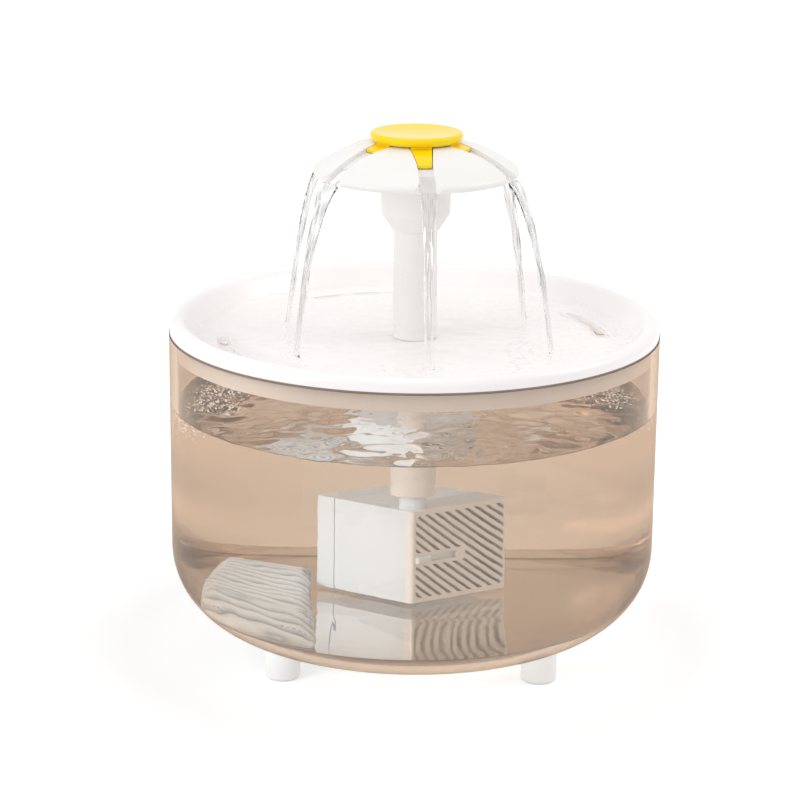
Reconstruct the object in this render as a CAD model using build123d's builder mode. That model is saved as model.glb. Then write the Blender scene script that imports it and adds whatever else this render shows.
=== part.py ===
from build123d import *
import math
import os

os.makedirs("parts", exist_ok=True)

# Driving dimensions, in mm. The origin is on the ground under the middle of
# the tank, +Z is up and -Y is the front.

# Tank, raised floor and feet
foot_height = 12.0
foot_radius = 6.75
foot_x = 48.2
foot_y = 40.5
foot_edge_round = 1.6
plug_radius = 6.0
plug_gap = 0.2
tank_radius = 92.5
tank_wall = 3.0
tank_corner = 30.0
tank_top = 125.0
floor_top = 25.2
floor_thickness = 5.0
weld_gap = 0.05

# Seal and tray
seal_height = 0.8
seal_inset = 0.3
tray_floor_top = 120.5
tray_floor = 2.0
tray_crest_top = 130.6
tray_rim_round = 3.55
tray_dish_round = 6.0
tray_slope = 55.0
tray_outer_radius = 92.2
tray_skirt_radius = 89.2
tray_skirt_wall = 2.2
tray_skirt_bottom = 118.5
drain_count = 4
drain_circle = 72.0
drain_width = 5.0
drain_span = 30.0
drain_first = 18.0
weir_wall = 1.2
weir_height = 1.2
cable_notch_width = 6.0
cable_notch_start = 85.5

# Riser tube, its gasket, nut and rings
riser_radius = 8.3
riser_low_radius = 6.45
riser_bore = 4.2
riser_bottom = 67.7
riser_shoulder = 164.0
riser_top = 178.0
riser_lead_in = 0.6
spigot_radius = 6.5
spigot_groove_radius = 5.85
spigot_groove_level = 173.0
tray_hole_radius = 6.55
gasket_height = 0.8
nut_radius = 11.0
nut_height = 4.0
ring_section = 0.35
groove_height = 0.8

# Flower, collar and cap
collar_radius = 13.0
collar_low_radius = 9.1
collar_bottom = 170.0
collar_top = 192.0
socket_radius = 6.6
petal_count = 6
petal_turn = -83.5
petal_radius = 38.4
petal_trim_radius = 39.4
petal_corner = 4.0
petal_rim = 3.2
petal_rim_roll = 0.9
petal_rim_undercut = 0.8
petal_shell = 3.4
petal_flat_radius = 8.0
petal_flat_level = 197.6
petal_fall = 0.01172
notch_start = 31.0
channel_start = 13.0
channel_end = 27.5
channel_inner_width = 9.6
channel_outer_width = 5.8
channel_depth = 2.0
seat_radius = 14.0
seat_level = 194.6
cap_radius = 17.4
cap_under = 197.3
cap_top = 200.6
cap_round = 1.3
cap_under_round = 1.9
cap_dish_radius = 15.6
cap_dish = 0.9
long_finger_count = 3
short_finger_end = 20.5
finger_sink = 0.2
finger_thickness = 1.0
finger_gap = 0.35
finger_root_level = 195.9
finger_root_reach = 2.5
finger_root_inset = 0.5
cross_radius = 10.0
cross_rib = 1.6
cross_plug_radius = 4.1
cross_plug_bottom = 187.0
cut_over = 2.0

# Pump, in its own axes: origin under its middle, +X out of the grille
pump_centre = (0.0, 18.0)
pump_turn = -45.0
pump_pad = 1.0
pump_pad_radius = 3.5
pump_pad_spacing = 22.0
pump_side = 36.6
pump_height = 36.0
pump_wall = 2.2
pump_edge = 1.0
pump_grille_edge = 2.2
seam_width = 0.3
seam_depth = 0.7
rear_depth = 6.4
rear_lip = 2.0
rear_lip_wall = 1.2
lid_gap = 0.1
grille_thickness = 2.5
grille_slot = 1.1
grille_pitch = 2.55
grille_slant = -42.0
grille_margin = 1.7
grille_corner = 2.2
grille_tab = (4.0, 1.2)
grille_tab_length = 3.0
grille_tab_y = 12.5
slider_low = -16.9
slider_high = -0.6
slider_level = 16.8
slider_slot = 2.8
slider_clear = 1.2
slider_end_clear = 3.2
slider_travel = 10.0
slider_recess = 1.2
slider_recess_end = 0.5
slider_recess_side = 1.0
slider_flange_end = 0.4
knob_length = 5.4
knob_proud = 1.2
knob_gap = 0.15
knob_round = 0.5
rotor_y = -4.0
rotor_z = 17.0
well_radius = 5.8
well_wall = 1.2
well_end = -6.5
bulkhead = 7.2
bulkhead_thickness = 1.6
chamber_radius = 11.5
chamber_wall = 1.4
volute_front = 15.5
volute_thickness = 1.4
inlet_radius = 7.0
spider_rib = 1.6
spider_count = 3
spider_overlap = 0.5
magnet_radius = 5.3
magnet_start = -4.6
impeller_start = 8.9
impeller_end = 13.5
impeller_hub_radius = 3.4
blade_radius = 9.6
blade_thickness = 1.0
blade_count = 6
shaft_radius = 1.0
shaft_gap = 0.05
bush_radius = 2.6
bush_length = 1.6
bush_seat_wall = 1.0
core_x = 5.0
core_leg = 4.4
core_yoke = 2.8
core_yoke_level = 4.6
core_top = 27.0
core_gap = 0.2
coil_wall = 2.0
nozzle_radius = 3.9
nozzle_bore = 2.4
nozzle_root_radius = 3.0
nozzle_top = 76.0
nozzle_lead_in = 0.4
nozzle_step = 0.3
nozzle_groove_radius = 3.4
nozzle_groove_level = 72.5
outlet = (12.73, -12.73)
gland_radius = 3.6
gland_flange = 5.2
gland_flange_height = 1.2
gland_bore = 2.1
gland_reach = 5.5
gland_taper = 4.0
gland_level = 9.5

# Filter pad: its corners, and how far its front edge bows towards the wall
pad_front_left = (-73.0, -24.0)
pad_front_right = (-31.5, -69.5)
pad_back_right = (-25.0, 37.0)
pad_back_left = (-44.5, 42.5)
pad_front_bow = 6.0
pad_height = 6.9
pad_corner_round = 4.0
pad_edge_round = 2.2

# Sizes that follow from the ones above
tank_bottom = foot_height
tank_inner = tank_radius - tank_wall
corner_centre = tank_radius - tank_corner
corner_level = tank_bottom + tank_corner
inner_corner = tank_corner - tank_wall
floor_under = floor_top - floor_thickness
seal_top = tank_top + seal_height
tray_under = tray_floor_top - tray_floor
skirt_inner = tray_skirt_radius - tray_skirt_wall
slope_sin = math.sin(math.radians(tray_slope))
slope_cos = math.cos(math.radians(tray_slope))
rim_at = (tray_outer_radius - tray_rim_round, tray_crest_top - tray_rim_round)
slope_top = (rim_at[0] - tray_rim_round * slope_sin, rim_at[1] + tray_rim_round * slope_cos)
slope_low_z = tray_floor_top + tray_dish_round * (1 - slope_cos)
slope_low_r = slope_top[0] - (slope_top[1] - slope_low_z) * slope_cos / slope_sin
tray_floor_radius = slope_low_r - tray_dish_round * slope_sin
under_low = (slope_low_r + tray_floor * slope_sin, slope_low_z - tray_floor * slope_cos)
gasket_top = tray_floor_top + gasket_height
pump_base = floor_top + pump_pad
pump_place = Location((*pump_centre, pump_base), (0, 0, pump_turn))
half = pump_side / 2
rear_seam = rear_depth - half
inner_side = pump_side - 2 * pump_wall
inner_height = pump_height - 2 * pump_wall
grille_back = half - grille_thickness
chamber_start = bulkhead + bulkhead_thickness
volute_back = volute_front - volute_thickness
rotor_plane = Plane(origin=(0, rotor_y, rotor_z), x_dir=(0, 1, 0), z_dir=(1, 0, 0))


def save(builder, node, place=Location((0, 0, 0))):
    """Set a finished piece in its place, label it and write its STEP file."""
    builder.part.move(place)
    builder.part.label = node
    export_step(builder.part, f"parts/{node}.step")


def corner_reach(level, corner):
    """Radius of the tank's rounded bottom edge at a height."""
    return corner_centre + math.sqrt(corner**2 - (corner_level - level) ** 2)


def petal_face(radius):
    """Height of the petals' upper face at a radius."""
    return petal_flat_level - petal_fall * (radius - petal_flat_radius) ** 2


def ring_seal(centre_radius, level):
    """A round-section rubber ring about the Z axis."""
    with BuildPart() as ring:
        with BuildSketch(Plane.XZ):
            with Locations((centre_radius, level)):
                Circle(ring_section)
        revolve(axis=Axis.Z)
    return ring


def radial_wedge(start, end, start_width, end_width, count=petal_count):
    """Flat wedges along a number of channels, from a start to an end radius."""
    length = end - start
    slant = math.degrees(math.atan2(length, (start_width - end_width) / 2))
    with PolarLocations((start + end) / 2, count, start_angle=petal_turn):
        Trapezoid(start_width, length, slant, rotation=-90)


def channel_layer(start, end, low_drop, high_drop, side_gap, count=petal_count):
    """Strips that follow the petals' face along the channels, between two depths."""
    middle = (start + end) / 2
    with BuildPart() as layer:
        with BuildSketch(Plane.XZ):
            with BuildLine():
                ThreePointArc(*((r, petal_face(r) - low_drop) for r in (start, middle, end)))
                Line((end, petal_face(end) - low_drop), (end, petal_face(end) - high_drop))
                ThreePointArc(*((r, petal_face(r) - high_drop) for r in (end, middle, start)))
                Line((start, petal_face(start) - high_drop), (start, petal_face(start) - low_drop))
            make_face()
        revolve(axis=Axis.Z)
        inner_width = channel_inner_width - 2 * side_gap
        outer_width = channel_outer_width - 2 * side_gap
        with BuildSketch(Plane.XY.offset(collar_bottom)):
            radial_wedge(channel_start - cut_over, channel_end, inner_width, outer_width, count)
            radial_wedge(channel_end, petal_radius + 2 * cut_over, outer_width, outer_width, count)
        extrude(amount=cap_top + cut_over - collar_bottom, mode=Mode.INTERSECT)
    return layer


# Tank: a clear cup with a wide rounded bottom edge and four plug holes

with BuildPart() as tank:
    with BuildSketch(Plane.XZ):
        with BuildLine():
            Polyline((0, tank_bottom + tank_wall), (0, tank_bottom), (corner_centre, tank_bottom))
            CenterArc((corner_centre, corner_level), tank_corner, -90, 90)
            Polyline(
                (tank_radius, corner_level),
                (tank_radius, tank_top),
                (tank_inner, tank_top),
                (tank_inner, corner_level),
            )
            CenterArc((corner_centre, corner_level), inner_corner, -90, 90)
            Line((corner_centre, tank_bottom + tank_wall), (0, tank_bottom + tank_wall))
        make_face()
    revolve(axis=Axis.Z)
    with BuildSketch():
        with GridLocations(2 * foot_x, 2 * foot_y, 2, 2):
            Circle(plug_radius)
    extrude(amount=floor_under, mode=Mode.SUBTRACT)
save(tank, "tank")

# Raised floor: a thick clear disc welded into the rounded corner

floor_corner = inner_corner - weld_gap
floor_middle = (floor_under + floor_top) / 2

with BuildPart() as floor_plate:
    with BuildSketch(Plane.XZ):
        with BuildLine():
            Polyline(
                (corner_reach(floor_top, floor_corner), floor_top),
                (0, floor_top),
                (0, floor_under),
                (corner_reach(floor_under, floor_corner), floor_under),
            )
            ThreePointArc(
                *((corner_reach(z, floor_corner), z) for z in (floor_under, floor_middle, floor_top))
            )
        make_face()
    revolve(axis=Axis.Z)
save(floor_plate, "floor_plate")

# Feet: white pegs shaped to the tank's bottom. The plug of each goes through
# the bottom and ends just under the raised floor.

with BuildPart() as tank_outside:
    with BuildSketch(Plane.XZ):
        with BuildLine():
            Polyline((0, tank_top), (0, tank_bottom - weld_gap), (corner_centre, tank_bottom - weld_gap))
            CenterArc((corner_centre, corner_level), tank_corner + weld_gap, -90, 90)
            Polyline(
                (tank_radius + weld_gap, corner_level),
                (tank_radius + weld_gap, tank_top),
                (0, tank_top),
            )
        make_face()
    revolve(axis=Axis.Z)

foot_places = {
    "front_left": (-foot_x, -foot_y),
    "front_right": (foot_x, -foot_y),
    "back_left": (-foot_x, foot_y),
    "back_right": (foot_x, foot_y),
}
plug_top = floor_under - plug_gap

for corner, place in foot_places.items():
    with BuildPart() as foot:
        with BuildSketch():
            with Locations(place):
                Circle(foot_radius)
        extrude(amount=plug_top)
        fillet(foot.edges().group_by(Axis.Z)[0], foot_edge_round)
        add(tank_outside.part, mode=Mode.SUBTRACT)
        with BuildSketch(Plane.XY.offset(foot_height / 2)):
            with Locations(place):
                Circle(plug_radius - weld_gap)
        extrude(amount=plug_top - foot_height / 2)
    save(foot, f"foot_{corner}")

# Rim seal: a thin flat ring between the tank's edge and the tray's lip

with BuildPart() as rim_seal:
    with BuildSketch(Plane.XY.offset(tank_top)):
        Circle(tank_radius - seal_inset)
        Circle(tank_inner + seal_inset, mode=Mode.SUBTRACT)
    extrude(amount=seal_height)
save(rim_seal, "rim_seal")

# Tray: a shallow dish with a rounded rim, a skirt inside the tank, four
# curved drain slots with low weirs, and a notch for the pump's cable

drain_line = CenterArc((0, 0), drain_circle, -drain_span / 2, drain_span)

with BuildPart() as tray:
    with BuildSketch(Plane.XZ):
        with BuildLine():
            Polyline(
                (tray_hole_radius, tray_under),
                (tray_hole_radius, tray_floor_top),
                (tray_floor_radius, tray_floor_top),
            )
            JernArc((tray_floor_radius, tray_floor_top), (1, 0), tray_dish_round, tray_slope)
            Line((slope_low_r, slope_low_z), slope_top)
            JernArc(slope_top, (slope_cos, slope_sin), tray_rim_round, -90 - tray_slope)
            Line((tray_outer_radius, rim_at[1]), (tray_outer_radius, seal_top))
            Polyline(
                (tray_outer_radius, seal_top),
                (tray_skirt_radius, seal_top),
                (tray_skirt_radius, tray_skirt_bottom),
                (skirt_inner, tray_skirt_bottom),
                (skirt_inner, under_low[1] + (skirt_inner - under_low[0]) * slope_sin / slope_cos),
                under_low,
                (tray_floor_radius + tray_floor, tray_under),
                (tray_hole_radius, tray_under),
            )
        make_face()
    revolve(axis=Axis.Z)
    with BuildSketch(Plane.XY.offset(tray_floor_top)):
        with PolarLocations(0, drain_count, start_angle=drain_first):
            SlotArc(drain_line, drain_width + 2 * weir_wall)
    extrude(amount=weir_height)
    with BuildSketch(Plane.XY.offset(tray_under)):
        with PolarLocations(0, drain_count, start_angle=drain_first):
            SlotArc(drain_line, drain_width)
    extrude(amount=tray_floor + weir_height, mode=Mode.SUBTRACT)
    with BuildSketch(Plane.XY.offset(tray_skirt_bottom)):
        with Locations((0, tank_radius)):
            SlotOverall(2 * (tank_radius - cable_notch_start), cable_notch_width, rotation=90)
    extrude(amount=tray_crest_top - tray_skirt_bottom, mode=Mode.SUBTRACT)
save(tray, "tray")

# Riser: the stem of the fountain. Its shoulder stands on the tray and its
# thin lower length reaches down over the pump's nozzle.

with BuildPart() as riser:
    with BuildSketch(Plane.XY.offset(riser_bottom)):
        Circle(riser_low_radius)
    extrude(amount=gasket_top - riser_bottom)
    with BuildSketch(Plane.XY.offset(gasket_top)):
        Circle(riser_radius)
    extrude(amount=riser_shoulder - gasket_top)
    with BuildSketch(Plane.XY.offset(riser_shoulder)):
        Circle(spigot_radius)
    extrude(amount=riser_top - riser_shoulder)
    chamfer(riser.edges().group_by(Axis.Z)[-1], riser_lead_in)
    with BuildSketch(Plane.XY.offset(spigot_groove_level)):
        Circle(spigot_radius)
        Circle(spigot_groove_radius, mode=Mode.SUBTRACT)
    extrude(amount=groove_height, mode=Mode.SUBTRACT)
    with BuildSketch(Plane.XY.offset(riser_bottom)):
        Circle(riser_bore)
    extrude(amount=riser_top - riser_bottom, mode=Mode.SUBTRACT)
save(riser, "riser")

with BuildPart() as riser_gasket:
    with BuildSketch(Plane.XY.offset(tray_floor_top)):
        Circle(riser_radius)
        Circle(tray_hole_radius, mode=Mode.SUBTRACT)
    extrude(amount=gasket_height)
save(riser_gasket, "riser_gasket")

with BuildPart() as riser_nut:
    with BuildSketch(Plane.XY.offset(tray_under - nut_height)):
        RegularPolygon(nut_radius, 6)
        Circle(riser_low_radius, mode=Mode.SUBTRACT)
    extrude(amount=nut_height)
save(riser_nut, "riser_nut")

collar_o_ring = ring_seal(spigot_groove_radius + ring_section, spigot_groove_level + groove_height / 2)
save(collar_o_ring, "collar_o_ring")

# Flower: a domed umbrella of six petals parted by sunken water channels.
# The channels open into round-cornered notches at the petals' edge.

rim = petal_radius - petal_rim_roll
rim_low = (petal_radius - petal_rim_roll - petal_rim_undercut, petal_face(rim) - petal_rim)
middle = (petal_flat_radius + rim) / 2

channel_cutter = channel_layer(channel_start, petal_radius + cut_over, channel_depth, -2 * channel_depth, 0)

with BuildPart() as flower:
    with BuildSketch(Plane.XZ):
        with BuildLine():
            ThreePointArc(*((r, petal_face(r)) for r in (petal_flat_radius, middle, rim)))
            Spline((rim, petal_face(rim)), (petal_radius, petal_face(rim) - petal_rim / 2), rim_low)
            ThreePointArc(
                rim_low,
                (channel_end, petal_face(channel_end) - petal_shell),
                (collar_radius, collar_top),
            )
            Polyline(
                (collar_radius, collar_top),
                (riser_bore, collar_top),
                (riser_bore, petal_flat_level),
                (petal_flat_radius, petal_flat_level),
            )
        make_face()
    revolve(axis=Axis.Z)
    with BuildSketch(Plane.XY.offset(collar_bottom)) as petals:
        Circle(petal_trim_radius)
        with PolarLocations(notch_start + petal_radius / 2, petal_count, start_angle=petal_turn):
            Rectangle(petal_radius, channel_outer_width, mode=Mode.SUBTRACT)
        fillet(petals.vertices().filter_by(lambda v: math.hypot(v.X, v.Y) > petal_radius), petal_corner)
    extrude(amount=cap_top - collar_bottom, mode=Mode.INTERSECT)
    add(channel_cutter.part, mode=Mode.SUBTRACT)
    with BuildSketch(Plane.XY.offset(seat_level)):
        Circle(seat_radius)
    extrude(amount=cap_top - seat_level, mode=Mode.SUBTRACT)
save(flower, "flower")

# Collar: the socket under the flower that grips the riser's spigot

with BuildPart() as flower_collar:
    with BuildSketch(Plane.XZ):
        with BuildLine():
            Polyline(
                (socket_radius, riser_shoulder),
                (collar_low_radius, riser_shoulder),
                (collar_radius, collar_bottom),
                (collar_radius, collar_top),
                (riser_bore, collar_top),
                (riser_bore, riser_top),
                (socket_radius, riser_top),
                close=True,
            )
        make_face()
    revolve(axis=Axis.Z)
save(flower_collar, "flower_collar")

# Cap: a dished yellow button with a finger in each channel, every second one
# long. A cross under it stands on the flower's seat and plugs into the bore, so
# that water rises past.

finger_low = finger_sink + finger_thickness
long_fingers = channel_layer(
    seat_radius, channel_end, finger_low, finger_sink, finger_gap, long_finger_count
)
short_fingers = channel_layer(seat_radius, short_finger_end, finger_low, finger_sink, finger_gap)

with BuildPart() as cap:
    with BuildSketch(Plane.XY.offset(cap_under)):
        Circle(cap_radius)
    extrude(amount=cap_top - cap_under)
    fillet(cap.edges().group_by(Axis.Z)[-1], cap_round)
    fillet(cap.edges().group_by(Axis.Z)[0], cap_under_round)
    with BuildSketch(Plane.XZ):
        with BuildLine():
            TangentArc((0, cap_top - cap_dish), (cap_dish_radius, cap_top), tangent=(1, 0))
            Polyline((cap_dish_radius, cap_top), (0, cap_top), (0, cap_top - cap_dish))
        make_face()
    revolve(axis=Axis.Z, mode=Mode.SUBTRACT)
    with BuildSketch(Plane.XY.offset(seat_level)):
        with PolarLocations(0, 2, start_angle=petal_turn, angular_range=180):
            Rectangle(2 * cross_radius, cross_rib)
    extrude(amount=cap_under + cap_round - seat_level)
    with BuildSketch(Plane.XY.offset(cross_plug_bottom)):
        with PolarLocations(0, 2, start_angle=petal_turn, angular_range=180):
            Rectangle(2 * cross_plug_radius, cross_rib)
    extrude(amount=seat_level - cross_plug_bottom)
    with BuildSketch(Plane.XY.offset(finger_root_level)):
        root_width = channel_inner_width - 2 * (finger_gap + finger_root_inset)
        radial_wedge(channel_start - cut_over, channel_start + finger_root_reach, root_width, root_width)
    extrude(amount=cap_under + cap_round - finger_root_level)
    add(long_fingers.part)
    add(short_fingers.part)
save(cap, "cap")

# Pump housing: a box open at the front and the rear, with a fine groove round
# its rear seam. A bulkhead carries the rotor's well and the scroll wall of the
# impeller chamber.

with BuildPart() as pump_housing:
    with BuildSketch():
        with Locations(((rear_seam + grille_back) / 2, 0)):
            Rectangle(grille_back - rear_seam, pump_side)
    extrude(amount=pump_height)
    with BuildSketch(Plane.YZ.offset(rear_seam)):
        with Locations((0, pump_height / 2)):
            Rectangle(pump_side, pump_height)
            Rectangle(pump_side - 2 * seam_depth, pump_height - 2 * seam_depth, mode=Mode.SUBTRACT)
    extrude(amount=seam_width, mode=Mode.SUBTRACT)
    with BuildSketch(Plane.YZ.offset(rear_seam)):
        with Locations((0, pump_height / 2)):
            Rectangle(inner_side, inner_height)
    extrude(amount=grille_back - rear_seam, mode=Mode.SUBTRACT)
    with BuildSketch(Plane.YZ.offset(bulkhead)):
        with Locations((0, pump_height / 2)):
            Rectangle(inner_side, inner_height)
    extrude(amount=bulkhead_thickness)
    with BuildSketch(rotor_plane.offset(well_end - well_wall)):
        Circle(well_radius + well_wall)
    extrude(amount=bulkhead - well_end + well_wall)
    with BuildSketch(rotor_plane.offset(well_end)):
        Circle(well_radius)
    extrude(amount=chamber_start - well_end, mode=Mode.SUBTRACT)
    with BuildSketch(rotor_plane.offset(well_end)):
        Circle(bush_radius + bush_seat_wall)
        Circle(bush_radius, mode=Mode.SUBTRACT)
    extrude(amount=bush_length)
    with BuildSketch(Plane.YZ.offset(chamber_start)):
        with Locations((rotor_y, rotor_z)):
            Circle(chamber_radius + chamber_wall)
        with Locations((outlet[1], (rotor_z + pump_height) / 2)):
            Rectangle(2 * (nozzle_root_radius + chamber_wall), pump_height - rotor_z)
        with Locations((rotor_y, rotor_z)):
            Circle(chamber_radius, mode=Mode.SUBTRACT)
        with Locations((outlet[1], (rotor_z + pump_height - pump_wall) / 2)):
            Rectangle(
                2 * (nozzle_root_radius - nozzle_step),
                pump_height - pump_wall - rotor_z,
                mode=Mode.SUBTRACT,
            )
    extrude(amount=volute_back - chamber_start)
    with BuildSketch(Plane.XY.offset(pump_height - pump_wall)):
        with Locations(outlet):
            Circle(nozzle_root_radius)
    extrude(amount=pump_wall, mode=Mode.SUBTRACT)
save(pump_housing, "pump_housing", pump_place)

# Volute cover: closes the impeller chamber; its spider holds the shaft's bush

with BuildPart() as volute_cover:
    with BuildSketch(Plane.YZ.offset(volute_back)):
        with Locations((rotor_y, rotor_z)):
            Circle(chamber_radius + chamber_wall)
        with Locations((outlet[1], (rotor_z + pump_height) / 2)):
            Rectangle(2 * (nozzle_root_radius + chamber_wall), pump_height - rotor_z)
        with Locations((rotor_y, rotor_z)):
            Circle(inlet_radius, mode=Mode.SUBTRACT)
            Circle(bush_radius + bush_seat_wall)
            with PolarLocations(inlet_radius / 2, spider_count, start_angle=90):
                Rectangle(inlet_radius + 2 * spider_overlap, spider_rib)
            Circle(bush_radius, mode=Mode.SUBTRACT)
        with Locations((0, pump_height / 2)):
            Rectangle(inner_side - 2 * lid_gap, inner_height - 2 * lid_gap, mode=Mode.INTERSECT)
    extrude(amount=volute_thickness)
save(volute_cover, "volute_cover", pump_place)

# Rotor: magnet, impeller, fixed ceramic shaft and its two rubber bushes

with BuildPart() as rotor_magnet:
    with BuildSketch(rotor_plane.offset(magnet_start)):
        Circle(magnet_radius)
        Circle(shaft_radius + shaft_gap, mode=Mode.SUBTRACT)
    extrude(amount=impeller_start - magnet_start)
save(rotor_magnet, "rotor_magnet", pump_place)

with BuildPart() as impeller:
    with BuildSketch(rotor_plane.offset(impeller_start)):
        Circle(impeller_hub_radius)
        with PolarLocations(blade_radius / 2, blade_count):
            Rectangle(blade_radius, blade_thickness)
        Circle(shaft_radius + shaft_gap, mode=Mode.SUBTRACT)
    extrude(amount=impeller_end - impeller_start)
save(impeller, "impeller", pump_place)

with BuildPart() as pump_shaft:
    with BuildSketch(rotor_plane.offset(well_end)):
        Circle(shaft_radius)
    extrude(amount=volute_back + bush_length - volute_thickness / 2 - well_end)
save(pump_shaft, "pump_shaft", pump_place)

with BuildPart() as shaft_bushes:
    with BuildSketch(rotor_plane.offset(well_end)):
        Circle(bush_radius)
        Circle(shaft_radius, mode=Mode.SUBTRACT)
    extrude(amount=bush_length)
    with BuildSketch(rotor_plane.offset(volute_back)):
        Circle(bush_radius)
        Circle(shaft_radius, mode=Mode.SUBTRACT)
    extrude(amount=volute_thickness)
save(shaft_bushes, "shaft_bushes", pump_place)

# Motor: a laminated core that straddles the well, with its coil on the yoke

core_half = well_radius + well_wall + core_gap

with BuildPart() as stator_core:
    with BuildSketch(Plane.YZ.offset(-core_x)):
        with Locations((rotor_y, (core_yoke_level + core_top) / 2)):
            Rectangle(2 * (core_half + core_leg), core_top - core_yoke_level)
        with Locations((rotor_y, (core_yoke_level + core_yoke + core_top) / 2)):
            Rectangle(2 * core_half, core_top - core_yoke_level - core_yoke, mode=Mode.SUBTRACT)
    extrude(amount=2 * core_x)
save(stator_core, "stator_core", pump_place)

with BuildPart() as stator_coil:
    with BuildSketch(Plane.YZ.offset(-core_x - coil_wall)):
        with Locations((rotor_y, core_yoke_level + core_yoke / 2)):
            Rectangle(2 * core_half - 2 * core_gap, core_yoke + 2 * coil_wall)
    extrude(amount=2 * (core_x + coil_wall))
    add(stator_core.part.moved(pump_place.inverse()), mode=Mode.SUBTRACT)
save(stator_coil, "stator_coil", pump_place)

# Rear cover: closes the motor's space, with a lip inside the housing and a
# hole for the cable's gland

with BuildPart() as pump_rear_cover:
    with BuildSketch():
        with Locations(((rear_seam - half) / 2, 0)):
            Rectangle(rear_depth, pump_side)
    extrude(amount=pump_height)
    fillet(pump_rear_cover.edges().filter_by(Axis.Z).group_by(Axis.X)[0], pump_edge)
    with BuildSketch(Plane.YZ.offset(rear_seam)):
        with Locations((0, pump_height / 2)):
            Rectangle(inner_side - 2 * lid_gap, inner_height - 2 * lid_gap)
    extrude(amount=rear_lip)
    lip_inner = 2 * (lid_gap + rear_lip_wall)
    with BuildSketch(Plane.YZ.offset(pump_wall - half)):
        with Locations((0, pump_height / 2)):
            Rectangle(inner_side - lip_inner, inner_height - lip_inner)
    extrude(amount=rear_depth + rear_lip - pump_wall, mode=Mode.SUBTRACT)
    with BuildSketch(Plane.YZ.offset(-half)):
        with Locations((0, gland_level)):
            Circle(gland_radius)
    extrude(amount=pump_wall, mode=Mode.SUBTRACT)
save(pump_rear_cover, "pump_rear_cover", pump_place)

# Cable gland: a rubber grommet with a blind bore facing rearwards

with BuildPart() as cable_gland:
    with BuildSketch(Plane.YZ.offset(-half)):
        with Locations((0, gland_level)):
            Circle(gland_radius - weld_gap)
    extrude(amount=pump_wall)
    with BuildSketch(Plane.YZ.offset(-half - gland_flange_height)):
        with Locations((0, gland_level)):
            Circle(gland_flange)
    extrude(amount=gland_flange_height)
    with BuildSketch(Plane.YZ.offset(-half - gland_flange_height)):
        with Locations((0, gland_level)):
            Circle(gland_radius)
    extrude(amount=-gland_reach, taper=gland_taper)
    with BuildSketch(Plane.YZ.offset(-half - gland_flange_height - gland_reach)):
        with Locations((0, gland_level)):
            Circle(gland_bore)
    extrude(amount=gland_reach + gland_flange_height, mode=Mode.SUBTRACT)
save(cable_gland, "cable_gland", pump_place)

# Grille: the slotted intake cover that closes the housing's whole front and
# holds by three tabs inside its walls. The flow slider runs in a slot of its
# own, and a long recess behind the slot holds the slider's plate.

slider_middle = (slider_low + slider_high) / 2
slider_length = slider_high - slider_low
slot_area = (pump_side - 2 * grille_margin, pump_height - 2 * grille_margin)
slot_count = int(2 * slot_area[0] / grille_pitch)
tab_wide, tab_thin = grille_tab
tab_inset = lid_gap + tab_thin / 2

with BuildPart() as pump_grille:
    with BuildSketch(Plane.YZ.offset(grille_back)):
        with Locations((0, pump_height / 2)):
            Rectangle(pump_side, pump_height)
    extrude(amount=grille_thickness)
    front_edges = pump_grille.edges().filter_by(Axis.Z).group_by(Axis.X)[-1].sort_by(Axis.Y)
    fillet(front_edges[0], pump_edge)
    fillet(front_edges[-1], pump_grille_edge)
    with BuildSketch(Plane.YZ.offset(grille_back)):
        with Locations(Location((0, pump_height / 2, 0), (0, 0, grille_slant))):
            with GridLocations(1, grille_pitch, 1, slot_count):
                Rectangle(2 * slot_area[0], grille_slot)
        with Locations((0, pump_height / 2)):
            RectangleRounded(*slot_area, grille_corner, mode=Mode.INTERSECT)
        with Locations((slider_middle - slider_end_clear / 2, slider_level)):
            RectangleRounded(
                slider_length + 3 * slider_end_clear,
                slider_slot + 2 * slider_clear,
                slider_clear,
                mode=Mode.SUBTRACT,
            )
    extrude(amount=grille_thickness, mode=Mode.SUBTRACT)
    with BuildSketch(Plane.YZ.offset(grille_back)):
        with Locations((slider_middle, slider_level)):
            Rectangle(slider_length, slider_slot)
    extrude(amount=grille_thickness, mode=Mode.SUBTRACT)
    with BuildSketch(Plane.YZ.offset(grille_back)):
        with Locations((slider_middle + slider_travel / 2, slider_level)):
            Rectangle(
                slider_length + slider_travel + 2 * slider_recess_end,
                slider_slot + 2 * slider_recess_side,
            )
    extrude(amount=slider_recess, mode=Mode.SUBTRACT)
    with BuildSketch(Plane.YZ.offset(grille_back)):
        for level in (pump_wall + tab_inset, pump_height - pump_wall - tab_inset):
            with Locations((grille_tab_y, level)):
                Rectangle(tab_wide, tab_thin)
        with Locations((inner_side / 2 - tab_inset, pump_height / 2)):
            Rectangle(tab_thin, tab_wide)
    extrude(amount=-grille_tab_length)
save(pump_grille, "pump_grille", pump_place)

# Flow slider: a small knob in the slot, at the slot's near end, on a plate
# that covers the slot from behind

knob_at = slider_low + knob_length / 2 + knob_gap

with BuildPart() as flow_slider:
    with BuildSketch(Plane.YZ.offset(grille_back + knob_gap)):
        with Locations((slider_middle, slider_level)):
            Rectangle(
                slider_length + 2 * slider_flange_end,
                slider_slot + 2 * slider_recess_side - 2 * knob_gap,
            )
    extrude(amount=slider_recess - 2 * knob_gap)
    with BuildSketch(Plane.YZ.offset(grille_back + knob_gap)):
        with Locations((knob_at, slider_level)):
            Rectangle(knob_length, slider_slot - 2 * knob_gap)
    extrude(amount=grille_thickness - knob_gap + knob_proud)
    fillet(flow_slider.edges().group_by(Axis.X)[-1], knob_round)
save(flow_slider, "flow_slider", pump_place)

# Nozzle: the outlet spout on the pump's top, with an O-ring near its end

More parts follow.
